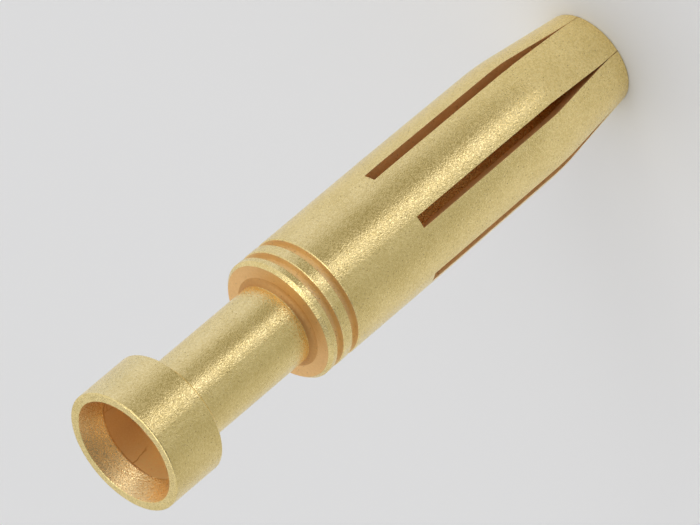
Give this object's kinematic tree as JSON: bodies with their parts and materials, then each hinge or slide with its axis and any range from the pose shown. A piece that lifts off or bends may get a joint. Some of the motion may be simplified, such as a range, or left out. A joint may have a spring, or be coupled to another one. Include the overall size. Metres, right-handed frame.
{
  "type": "crimp socket contact",
  "caption": "Turned gold plated socket contact with a cupped crimp neck for a wire, a shoulder with ring grooves, and a slotted round socket whose spring tines close on a pin.",
  "frame": {"origin": "centre of the tip face, on which the contact stands", "axes": "+Z along the axis from the tip of the tines to the mouth for the wire, +X through the middle of a slot"},
  "size_m": [0.0044, 0.0044, 0.0228],
  "materials": {
    "gold_plating": "satin gold plating on a turned copper alloy"
  },
  "bodies": {
    "root": {"socket_contact": "gold_plating"}
  },
  "joints": []
}
